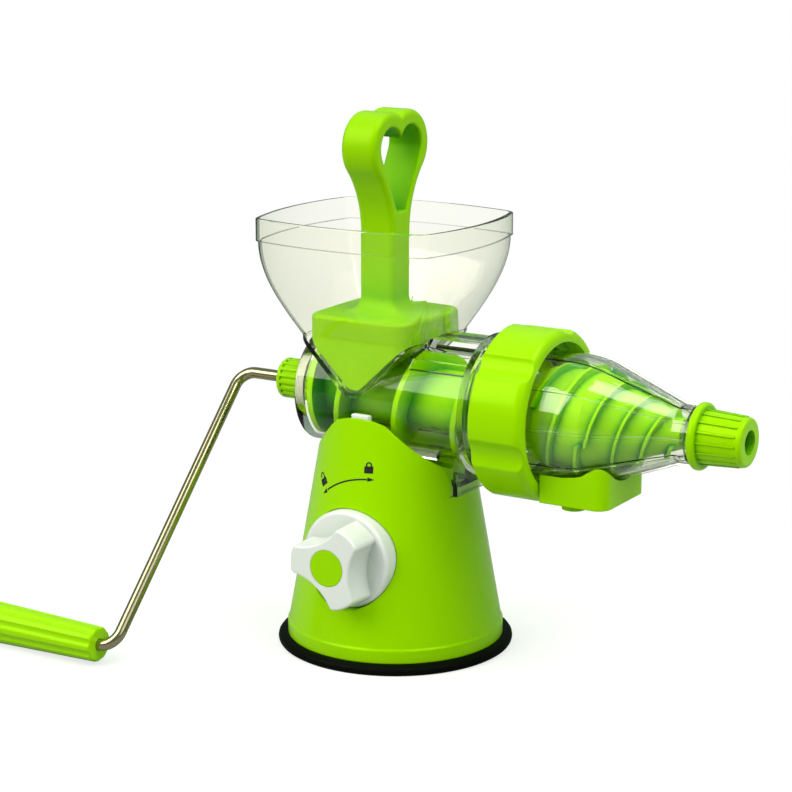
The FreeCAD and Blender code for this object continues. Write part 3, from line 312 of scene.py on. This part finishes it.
@dataclass(frozen=True)
class MouldedRubber:
    """Moulded rubber: nearly black, matte, with a fine pitted skin and a little dust."""

    name: str
    colour: str
    dust_colour: str
    roughness: float
    roughness_spread: float = 0.1
    pit_mm: float = 0.9
    pit_depth: float = 0.1
    dust_mm: float = 22.0
    dust_break: float = 0.65
    dust_span: Span = (0.45, 0.75)
    dust_most: float = 0.35
    gloss: float = 0.06

    def material(self) -> bpy.types.Material:
        """Make the rubber's node material."""
        material = new_material(self.name)
        tree = material.node_tree
        dust = noise(tree, self.dust_mm, 6.0, {"Roughness": self.dust_break})
        pits = noise(tree, self.pit_mm, 3.0)
        # Dust lies in loose patches, a shade paler than the rubber.
        share = remap(tree, dust, self.dust_span, (0.0, self.dust_most))
        tint = mix_colours(tree, share, linear(self.colour), linear(self.dust_colour))
        shine = remap(tree, dust, UNIT_SPAN,
                      (self.roughness - self.roughness_spread, self.roughness + self.roughness_spread))
        show(tree, principled(tree, {"Base Color": tint, "Roughness": shine, "Normal": bump(tree, pits, self.pit_depth),
                                     "IOR": PLASTIC_IOR, "Specular IOR Level": self.gloss}))
        return material


@dataclass(frozen=True)
class DrawnMetal:
    """Drawn and plated steel: bright, with slow waves from drawing and a patchy polish."""

    name: str
    colour: str
    roughness: float
    roughness_spread: float = 0.15
    wave_mm: float = 14.0
    wave_depth: float = 0.02
    polish_mm: float = 3.0

    def material(self) -> bpy.types.Material:
        """Make the metal's node material."""
        material = new_material(self.name)
        tree = material.node_tree
        waves = noise(tree, self.wave_mm, 1.0)
        polish = noise(tree, self.polish_mm, 4.0)
        # The polish varies along the rod, and the waves make its stripes of light waver.
        shine = remap(tree, polish, NOISE_SPAN,
                      (self.roughness * (1 - self.roughness_spread), self.roughness * (1 + self.roughness_spread)))
        show(tree, principled(tree, {"Base Color": linear(self.colour), "Metallic": 1.0, "Roughness": shine,
                                     "Normal": bump(tree, waves, self.wave_depth)}))
        return material


@dataclass(frozen=True)
class PrintedInk:
    """Pad-printed ink: a thin satin black film whose cover is a little uneven."""

    name: str
    colour: str
    thin_colour: str
    roughness: float = 0.45
    ior: float = 1.5
    speckle_mm: float = 0.4
    thin_span: Span = (0.55, 0.8)
    thin_most: float = 0.5

    def material(self) -> bpy.types.Material:
        """Make the ink's node material."""
        material = new_material(self.name)
        tree = material.node_tree
        # Where the film is thin, some of the plastic under it shows.
        share = remap(tree, noise(tree, self.speckle_mm, 2.0), self.thin_span, (0.0, self.thin_most))
        tint = mix_colours(tree, share, linear(self.colour), linear(self.thin_colour))
        show(tree, principled(tree, {"Base Color": tint, "Roughness": self.roughness, "IOR": self.ior}))
        return material


CLEAR_COLOUR, CLEAR_RIM, CLEAR_ROUGHNESS = "#FFFFF6", "#98AEA4", 0.006
# The fourth colour of each plastic is the painted shade that its hollows are darkened to.
FINISHES: dict[Slot, bpy.types.Material] = {
    Slot.LIME: MouldedPlastic("lime_abs_moulded", "#A0DE00", "#9AD800", "#0A9600", "#B4E428", 0.22).material(),
    Slot.WHITE: MouldedPlastic("white_abs_moulded", "#ECECEE", "#E7E8EA", "#B4BFB2", "#FFFFFF", 0.28).material(),
    Slot.NYLON: MouldedPlastic("natural_nylon_moulded", "#D6D0BE", "#CFC8B4", "#A79E86", "#FFFFFF", 0.5).material(),
    Slot.SILICONE: MouldedPlastic("silicone_moulded", "#D5D8D2", "#CDD1CA", "#A8ADA5", "#FFFFFF", 0.55).material(),
    Slot.CLEAR: ClearStyrene("clear_styrene_moulded", CLEAR_COLOUR, CLEAR_RIM, CLEAR_ROUGHNESS, 0.05).material(),
    Slot.RUBBER: MouldedRubber("black_rubber_moulded", "#020402", "#0A100A", 0.55).material(),
    Slot.PLATED: DrawnMetal("plated_steel_drawn", "#A69C7E", 0.14).material(),
    Slot.SPRING: DrawnMetal("spring_steel_drawn", "#A9A9A6", 0.3).material(),
}
OWN_FINISHES: dict[str, bpy.types.Material] = {
    "nozzle": ClearStyrene("clear_styrene_nozzle", CLEAR_COLOUR, CLEAR_RIM, CLEAR_ROUGHNESS, 0.55).material(),
    # Painted light: the screw is a slightly brighter copy of the lime plastic, with stronger painted shade in its
    # channels.
    "auger": MouldedPlastic("lime_abs_screw_painted_light_and_shade", "#A2E400", "#9ADC00", "#089600", "#A6DC10", 0.3,
                            hollow_mm=30.0, full_shade_at=0.5, open_at=0.97).material(),
    # Painted shade: the pusher is a darker copy of the lime plastic, with painted shade reaching further into its loop
    # and hollows.
    "pusher": MouldedPlastic("lime_abs_pusher_painted_shade", "#96D200", "#90CC00", "#069600", "#B4E428", 0.36,
                             hollow_mm=45.0, full_shade_at=0.35, open_at=0.95).material(),
}
INK = PrintedInk("black_ink_printed", "#060804", "#1A2406").material()


def dress(piece: bpy.types.Object, material: bpy.types.Material) -> None:
    """Give a piece one finish."""
    piece.data.materials.clear()
    piece.data.materials.append(material)


def stand_in(piece: bpy.types.Object, node: str, slot: Slot) -> None:
    """Let a piece take the place of a solid, on the solid's body.

    Args:
        piece: The new piece.
        node: The solid's node.
        slot: The slot whose finish the piece gets.
    """
    dress(piece, FINISHES[slot])
    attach(piece, frame["nodes"][node]["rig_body"])
    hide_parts(node)
    LOG.info("built %s", piece.name)


def deselect() -> None:
    """Leave nothing selected, in object mode."""
    if bpy.context.object and bpy.context.object.mode != "OBJECT":
        bpy.ops.object.mode_set(mode="OBJECT")
    bpy.ops.object.select_all(action="DESELECT")


def take(piece: bpy.types.Object) -> None:
    """Select one piece alone and make it the active one."""
    deselect()
    piece.select_set(True)
    bpy.context.view_layer.objects.active = piece


def settle(piece: bpy.types.Object) -> None:
    """Put a piece's place, turn and size into its mesh."""
    take(piece)
    bpy.ops.object.transform_apply(location=True, rotation=True, scale=True)


def apply_modifiers(piece: bpy.types.Object) -> None:
    """Apply a piece's modifiers in their order."""
    take(piece)
    for modifier in list(piece.modifiers):
        bpy.ops.object.modifier_apply(modifier=modifier.name)


def face_outwards(piece: bpy.types.Object) -> None:
    """Merge a piece's doubled points and turn its faces outwards."""
    take(piece)
    bpy.ops.object.mode_set(mode="EDIT")
    bpy.ops.mesh.select_all(action="SELECT")
    bpy.ops.mesh.remove_doubles(threshold=MERGE_WITHIN)
    bpy.ops.mesh.normals_make_consistent(inside=False)
    bpy.ops.object.mode_set(mode="OBJECT")


@dataclass
class CadPieces:
    """The construction's own pieces, which keep their shapes."""

    def dress(self) -> None:
        """Give each one its own finish, or else the finish of its slot."""
        for part in frame["record"]["subparts"]:
            node = part["node"]
            dress(frame["nodes"][node], OWN_FINISHES.get(node, FINISHES[Slot(part["material_slot"])]))
            LOG.info("dressed %s", node)


@dataclass
class SuctionFoot:
    """Black rubber foot: a flange that slopes to a rounded rim, over a dished cup with ripples. Sizes in mm."""

    segments: int = 160
    start_r: float = 1.0
    rim_slope: float = 0.6
    rim_round: float = 1.5
    rim_steps: int = 6
    seat_r: float = 56.0
    land_w: float = 3.0
    dish_h: float = 3.2
    dish_steps: int = 14
    ripple: float = 0.25
    ripples: int = 4
    node: str = "suction_cup"

    def profile(self) -> list[tuple[float, float]]:
        """Trace the foot from the middle of its top, over the rim, to the middle of its dish.

        Returns:
            Radius and height pairs, in millimetres.
        """
        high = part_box(self.node)[1]
        rim_r = high.x / MM
        top = high.z / MM
        points = [(self.start_r, top), (self.seat_r, top)]
        for step in range(self.rim_steps + 1):
            turn = math.radians(90 - 180 * step / self.rim_steps)
            middle = rim_r - self.rim_round
            height = self.rim_round + (top - self.rim_slope - 2 * self.rim_round) * (1 - step / self.rim_steps)
            points.append((middle + self.rim_round * math.cos(turn), height + self.rim_round * math.sin(turn)))
        land_r = rim_r - self.rim_round - self.land_w
        for step in range(self.dish_steps):
            share = step / self.dish_steps
            wave = self.ripple * (1 - math.cos(2 * math.pi * self.ripples * share)) / 2
            points.append((land_r * (1 - share), self.dish_h * math.sin(math.pi / 2 * share) - wave * share))
        return points

    def build(self) -> bpy.types.Object:
        """Turn the profile about the upright axis, ring by ring.

        Returns:
            The foot, in the place of its solid.
        """
        points = self.profile()
        deselect()
        bpy.ops.mesh.primitive_circle_add(vertices=self.segments, radius=points[0][0] * MM,
                                          location=(0, 0, points[0][1] * MM))
        foot = bpy.context.active_object
        foot.name = "rubber_foot"
        settle(foot)
        bpy.ops.object.mode_set(mode="EDIT")
        bpy.ops.mesh.select_all(action="SELECT")
        bpy.ops.mesh.edge_face_add()
        bpy.ops.mesh.region_to_loop()
        for (r_from, z_from), (r_to, z_to) in zip(points, points[1:]):
            rise = (0, 0, (z_to - z_from) * MM)
            share = r_to / r_from
            bpy.ops.mesh.extrude_edges_move(TRANSFORM_OT_translate={"value": rise})
            bpy.ops.transform.resize(value=(share, share, 1), center_override=(0, 0, z_to * MM))
        bpy.ops.mesh.edge_face_add()
        face_outwards(foot)
        bpy.ops.object.shade_smooth_by_angle(angle=SMOOTH_ANGLE)
        return foot

    def dress(self, foot: bpy.types.Object) -> None:
        """Give the foot its rubber, and let it stand for its solid."""
        stand_in(foot, self.node, Slot.RUBBER)


@dataclass(frozen=True)
class CoilSpring:
    """Hidden coil spring, copied from its solid."""

    node: str
    joint: str
    stays_high: bool

    def build(self) -> bpy.types.Object:
        """Copy the spring's solid as one merged mesh.

        Returns:
            The spring, in the place of its solid.
        """
        spring = bpy.data.objects.new(f"{self.node}_coil", frame["nodes"][self.node].data.copy())
        bpy.context.scene.collection.objects.link(spring)
        face_outwards(spring)
        bpy.ops.object.shade_smooth_by_angle(angle=SMOOTH_ANGLE)
        return spring

    def dress(self, spring: bpy.types.Object) -> None:
        """Give the spring its steel, let it stand for its solid, and give it a mesh of its own."""
        stand_in(spring, self.node, Slot.SPRING)
        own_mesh(spring)


@dataclass
class TurnMarks:
    """Printed marks above the knob: a two-headed arc arrow, an open and a closed padlock. Sizes in mm and degrees."""

    middle: tuple[float, float] = (9.9, 53.5)
    front: float = 70.0
    arc_r: float = 42.7
    arc_span: Span = (93.0, 128.5)
    arc_steps: int = 360
    line_w: float = 0.75
    head_r: float = 1.75
    head_shape: tuple[float, float] = (0.72, 1.35)
    head_gap: float = 2.0
    head_cuts: int = 2
    shut_at: float = 92.0
    open_at: float = 129.0
    open_lift: float = 0.9
    lock_rise: float = 4.4
    lock_w: float = 4.6
    lock_h: float = 3.5
    lock_cells: tuple[int, int] = (6, 5)
    shackle_r: float = 1.55
    shackle_w: float = 0.7
    shackle_steps: int = 40
    shackle_rise: float = 0.6
    leg_l: float = 0.9
    film_lift: float = 0.1
    film_t: float = 0.12
    slack: float = 0.01

    def place(self, radius: float, turn: float) -> Place:
        """Point in front of the base, at a radius and an angle about the arc's middle, in metres."""
        angle = math.radians(turn)
        return ((self.middle[0] + radius * math.cos(angle)) * MM, -self.front * MM,
                (self.middle[1] + radius * math.sin(angle)) * MM)

    def stand(self, flat: bpy.types.Object, centre: Place, turn: float) -> None:
        """Turn a flat shape in its plane by an angle in degrees, stand it up to face the front, and place it."""
        take(flat)
        flat.rotation_euler = (math.radians(90), math.radians(-turn), 0)
        flat.location = centre
        settle(flat)

    def resize(self, shape: bpy.types.Object, share: tuple[float, float]) -> None:
        """Stretch all of a flat shape about its middle, and leave it in edit mode."""
        take(shape)
        bpy.ops.object.mode_set(mode="EDIT")
        bpy.ops.mesh.select_all(action="SELECT")
        bpy.ops.transform.resize(value=(*share, 1), center_override=(0, 0, 0))

    def band(self, centre: Place, radius: float, width: float, span: Span, steps: int) -> bpy.types.Object:
        """Make a flat band along an arc, upright and facing the front.

        Args:
            centre: The arc's centre, in metres.
            radius: The arc's outer radius, in millimetres.
            width: The band's width, in millimetres.
            span: The arc's first and last angle, in degrees.
            steps: How many pieces a full turn has.

        Returns:
            The band.
        """
        deselect()
        bpy.ops.mesh.primitive_circle_add(vertices=steps, radius=radius * MM)
        band = bpy.context.active_object
        bpy.ops.object.mode_set(mode="EDIT")
        bpy.ops.mesh.select_all(action="DESELECT")
        bpy.ops.object.mode_set(mode="OBJECT")
        for point in band.data.vertices:
            turn = math.degrees(math.atan2(point.co.y, point.co.x)) % 360
            point.select = not span[0] - self.slack <= turn <= span[1] + self.slack
        bpy.ops.object.mode_set(mode="EDIT")
        bpy.ops.mesh.delete(type="VERT")
        bpy.ops.mesh.select_all(action="SELECT")
        bpy.ops.mesh.extrude_edges_move()
        share = 1 - width / radius
        bpy.ops.transform.resize(value=(share, share, 1), center_override=(0, 0, 0))
        bpy.ops.object.mode_set(mode="OBJECT")
        self.stand(band, centre, 0)
        return band

    def head(self, turn: float, way: float) -> bpy.types.Object:
        """Make one arrow head at an angle of the arc.

        Args:
            turn: Where the head stands on the arc, in degrees.
            way: The direction in which it points, in degrees.

        Returns:
            The head.
        """
        deselect()
        bpy.ops.mesh.primitive_circle_add(vertices=3, radius=self.head_r * MM, fill_type="NGON")
        head = bpy.context.active_object
        self.resize(head, self.head_shape)
        bpy.ops.mesh.quads_convert_to_tris()
        bpy.ops.mesh.subdivide(number_cuts=self.head_cuts)
        bpy.ops.object.mode_set(mode="OBJECT")
        self.stand(head, self.place(self.arc_r - self.line_w / 2, turn), way - 90)
        return head

    def padlock(self, turn: float, lift: float) -> list[bpy.types.Object]:
        """Make a padlock that stands outside the arc, with its shackle lifted by some millimetres.

        Args:
            turn: Where it stands on the arc, in degrees.
            lift: How far the shackle is lifted, in millimetres.

        Returns:
            Its body and its shackle.
        """
        deselect()
        bpy.ops.mesh.primitive_grid_add(x_subdivisions=self.lock_cells[0], y_subdivisions=self.lock_cells[1], size=MM)
        case = bpy.context.active_object
        self.resize(case, (self.lock_w, self.lock_h))
        bpy.ops.object.mode_set(mode="OBJECT")
        lock_r = self.arc_r + self.lock_rise
        self.stand(case, self.place(lock_r, turn), turn - 90)
        shackle = self.band((0, 0, 0), self.shackle_r, self.shackle_w, (0, 180), self.shackle_steps)
        self.legs(shackle, lift)
        take(shackle)
        shackle.rotation_euler = (0, math.radians(90 - turn), 0)
        shackle.location = self.place(lock_r + self.lock_h / 2 + self.shackle_rise + lift, turn)
        settle(shackle)
        return [case, shackle]

    def legs(self, shackle: bpy.types.Object, lift: float) -> None:
        """Draw the shackle's two ends down to the body, the second one short by the lift."""
        for side, reach in ((1, self.leg_l + lift), (-1, self.leg_l)):
            take(shackle)
            bpy.ops.object.mode_set(mode="EDIT")
            bpy.ops.mesh.select_mode(type="VERT")
            bpy.ops.mesh.select_all(action="DESELECT")
            bpy.ops.object.mode_set(mode="OBJECT")
            for point in shackle.data.vertices:
                point.select = abs(point.co.z) < self.slack * MM and point.co.x * side > 0
            bpy.ops.object.mode_set(mode="EDIT")
            bpy.ops.mesh.extrude_edges_move(TRANSFORM_OT_translate={"value": (0, 0, -reach * MM)})
            bpy.ops.object.mode_set(mode="OBJECT")

    def build(self) -> bpy.types.Object:
        """Draw the marks flat, then lay them on the base as one thin film.

        Returns:
            The marks.
        """
        first = self.arc_span[0] - self.head_gap
        last = self.arc_span[1] + self.head_gap
        shapes = [self.band(self.place(0, 0), self.arc_r, self.line_w, self.arc_span, self.arc_steps),
                  self.head(first, first - 90), self.head(last, last + 90)]
        shapes += self.padlock(self.shut_at, 0)
        shapes += self.padlock(self.open_at, self.open_lift)
        take(shapes[0])
        for shape in shapes:
            shape.select_set(True)
        bpy.ops.object.join()
        marks = bpy.context.active_object
        marks.name = "turn_marks"
        wrap = marks.modifiers.new("lay", "SHRINKWRAP")
        wrap.target = frame["nodes"]["base_housing"]
        wrap.wrap_method = "PROJECT"
        wrap.use_project_y = True
        wrap.use_positive_direction = True
        wrap.offset = self.film_lift * MM
        film = marks.modifiers.new("film", "SOLIDIFY")
        film.thickness = self.film_t * MM
        film.offset = -1
        apply_modifiers(marks)
        face_outwards(marks)
        return marks

    def dress(self, marks: bpy.types.Object) -> None:
        """Ink the marks."""
        dress(marks, INK)
        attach(marks, Body.BASE.value)
        LOG.info("built %s", marks.name)


def aim(thing: bpy.types.Object, place: Place, target: Place) -> None:
    """Add a lamp or camera to the scene at a place, and point it at a target."""
    bpy.context.scene.collection.objects.link(thing)
    thing.location = place
    thing.rotation_mode = "QUATERNION"
    thing.rotation_quaternion = (Vector(target) - Vector(place)).to_track_quat("-Z", "Y")


def straight_rays(tree: Tree, path: bpy.types.Node) -> Socket:
    """Pick the rays that reach the camera straight or through clear walls, with no bounce on the way.

    Args:
        tree: The node tree to add to.
        path: Its light path node.

    Returns:
        1 for such a ray and 0 for any other.
    """
    turned = calculate(tree, "ADD", path.outputs["Diffuse Depth"], path.outputs["Glossy Depth"])
    direct = calculate(tree, "LESS_THAN", turned, 0.5)
    through = calculate(tree, "MULTIPLY", path.outputs["Is Transmission Ray"], direct)
    return calculate(tree, "MAXIMUM", path.outputs["Is Camera Ray"], through)


@dataclass(frozen=True)
class Lamp:
    """One soft square lamp: metres, watts and a colour in linear light."""

    name: str
    place: Place
    size: float
    power: float
    colour: Place

    def hang(self, target: Place) -> None:
        """Hang the lamp so that it faces a target."""
        data = bpy.data.lights.new(self.name, "AREA")
        data.size = self.size
        data.energy = self.power
        data.color = self.colour
        aim(bpy.data.objects.new(self.name, data), self.place, target)


LAMPS = (
    Lamp("key_lamp", (-0.7, -1.08, 1.12), 1.15, 19.0, (1.0, 0.95, 0.86)),
    Lamp("fill_lamp", (1.3, -0.5, 1.0), 0.9, 3.5, (1.0, 1.0, 0.92)),
    Lamp("top_lamp", (0.8, 0.0, 1.6), 1.1, 17.0, (1.0, 0.98, 0.9)),
)


@dataclass
class Studio:
    """White floor, soft lamps, pale world and the camera. Sizes in metres."""

    eye: Place = (0.60127, -0.97889, 0.40520)
    target: Place = (0.00022, 0.00014, 0.12941)
    lens_mm: float = 105.25
    floor_size: float = 12.0
    floor_colour: Colour = (0.4, 0.4, 0.4, 1.0)
    floor_lift: float = 0.67
    white_span: Span = (0.1, 0.38)
    soft_level: float = 0.48
    soft_colour: Colour = (0.74, 1.0, 0.82, 1.0)
    white: Colour = (1.0, 1.0, 1.0, 1.0)
    room_heights: Span = (0.05, 0.65)
    room_levels: Span = (0.25, 0.4)

    def build(self) -> None:
        """Make the floor, lamps, world and camera."""
        self.add_floor()
        for lamp in LAMPS:
            lamp.hang(self.target)
        self.add_world()
        self.add_camera()
        bpy.context.scene.view_settings.view_transform = "Standard"

    def add_floor(self) -> None:
        """Lay a white floor that keeps the object's shadow and whitens away from it."""
        deselect()
        bpy.ops.mesh.primitive_plane_add(size=self.floor_size)
        floor = bpy.context.active_object
        floor.name = "floor"
        material = new_material("white_paper_floor")
        tree = material.node_tree
        where = add_node(tree, "ShaderNodeTexCoord").outputs["Object"]
        distance = add_node(tree, "ShaderNodeVectorMath", {"operation": "LENGTH"}, {0: where}).outputs["Value"]
        away = remap(tree, distance, self.white_span, settings={"interpolation_type": "SMOOTHSTEP"})
        seen = straight_rays(tree, add_node(tree, "ShaderNodeLightPath"))
        lift = calculate(tree, "MULTIPLY", seen, self.floor_lift)
        plain = calculate(tree, "MULTIPLY", seen, away)
        paper = add_node(tree, "ShaderNodeBsdfDiffuse", None, {"Color": self.floor_colour})
        glow = add_node(tree, "ShaderNodeEmission", None, {"Strength": lift})
        near = add_node(tree, "ShaderNodeAddShader", None, {0: paper.outputs["BSDF"], 1: glow.outputs["Emission"]})
        white = add_node(tree, "ShaderNodeEmission", None, {"Strength": 1.0})
        both = add_node(tree, "ShaderNodeMixShader", None,
                        {0: plain, 1: near.outputs["Shader"], 2: white.outputs["Emission"]})
        show(tree, both.outputs["Shader"])
        floor.data.materials.append(material)

    def add_world(self) -> None:
        """Light the object softly all round, show white behind it, and let shiny faces see a darker room."""
        world = bpy.data.worlds.new("studio_world")
        world.use_nodes = True
        tree = world.node_tree
        tree.nodes.clear()
        where = add_node(tree, "ShaderNodeTexCoord").outputs["Generated"]
        height = add_node(tree, "ShaderNodeSeparateXYZ", None, {0: where}).outputs["Z"]
        room = remap(tree, height, self.room_heights, self.room_levels, {"interpolation_type": "SMOOTHSTEP"})
        path = add_node(tree, "ShaderNodeLightPath")
        seen = straight_rays(tree, path)
        soft = mix_numbers(tree, path.outputs["Is Glossy Ray"], self.soft_level, room)
        light = add_node(tree, "ShaderNodeBackground", None,
                         {"Color": mix_colours(tree, seen, self.soft_colour, self.white),
                          "Strength": mix_numbers(tree, seen, soft, 1.0)})
        add_node(tree, "ShaderNodeOutputWorld", None, {"Surface": light.outputs["Background"]})
        bpy.context.scene.world = world

    def add_camera(self) -> None:
        """Put the camera at the photograph's viewing angle."""
        data = bpy.data.cameras.new("camera")
        data.lens = self.lens_mm
        camera = bpy.data.objects.new("camera", data)
        aim(camera, self.eye, self.target)
        bpy.context.scene.camera = camera


def main() -> None:
    """Build and dress the pieces in order, and report each one."""
    logging.basicConfig(level=logging.INFO, format="%(message)s")
    CadPieces().dress()
    for assembly in (SuctionFoot(), CoilSpring("cup_spring", "stem_lift", True),
                     CoilSpring("button_spring", "button_press", False), TurnMarks()):
        assembly.dress(assembly.build())
    Studio().build()


if __name__ == "__main__":
    main()
